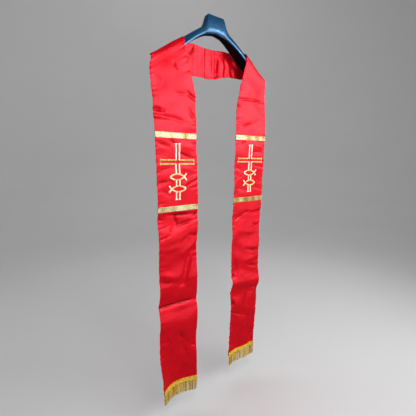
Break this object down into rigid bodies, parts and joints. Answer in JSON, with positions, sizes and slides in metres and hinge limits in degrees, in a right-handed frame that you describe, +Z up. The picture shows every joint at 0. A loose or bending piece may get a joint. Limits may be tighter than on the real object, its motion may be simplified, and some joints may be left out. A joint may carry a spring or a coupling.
{
  "type": "clerical stole on a coat hanger",
  "caption": "Long red satin clerical stole hung over a wide-shouldered coat hanger, with gold bands, outline crosses with fish, and fringed ends.",
  "frame": {"origin": "middle of the flat top of the hanger's neck, where a holder grips it", "axes": "+Z up, +X along the hanger towards the viewer's right, -Y towards the viewer who faces the embroidered panels"},
  "size_m": [0.4351, 0.0723, 1.2075],
  "materials": {
    "red satin": "smooth woven satin with a soft sheen",
    "gold band": "woven metallic trim, satin gloss",
    "gold thread": "raised metallic satin stitch",
    "gold fringe": "twisted metallic cord, satin gloss",
    "blue shell": "moulded, metallic blue, glossy",
    "black plate": "matt black"
  },
  "bodies": {
    "root": {"stole_left": "red satin", "stole_right": "red satin", "band_upper_left": "gold band", "band_lower_left": "gold band", "band_upper_right": "gold band", "band_lower_right": "gold band", "cross_arm_a_left": "gold thread", "cross_arm_b_left": "gold thread", "cross_stem_left": "gold thread", "cross_arm_a_right": "gold thread", "cross_arm_b_right": "gold thread", "cross_stem_right": "gold thread", "fringe_left": "gold fringe", "fringe_right": "gold fringe", "hanger_shell": "blue shell", "hanger_underside": "black plate"}
  },
  "joints": []
}
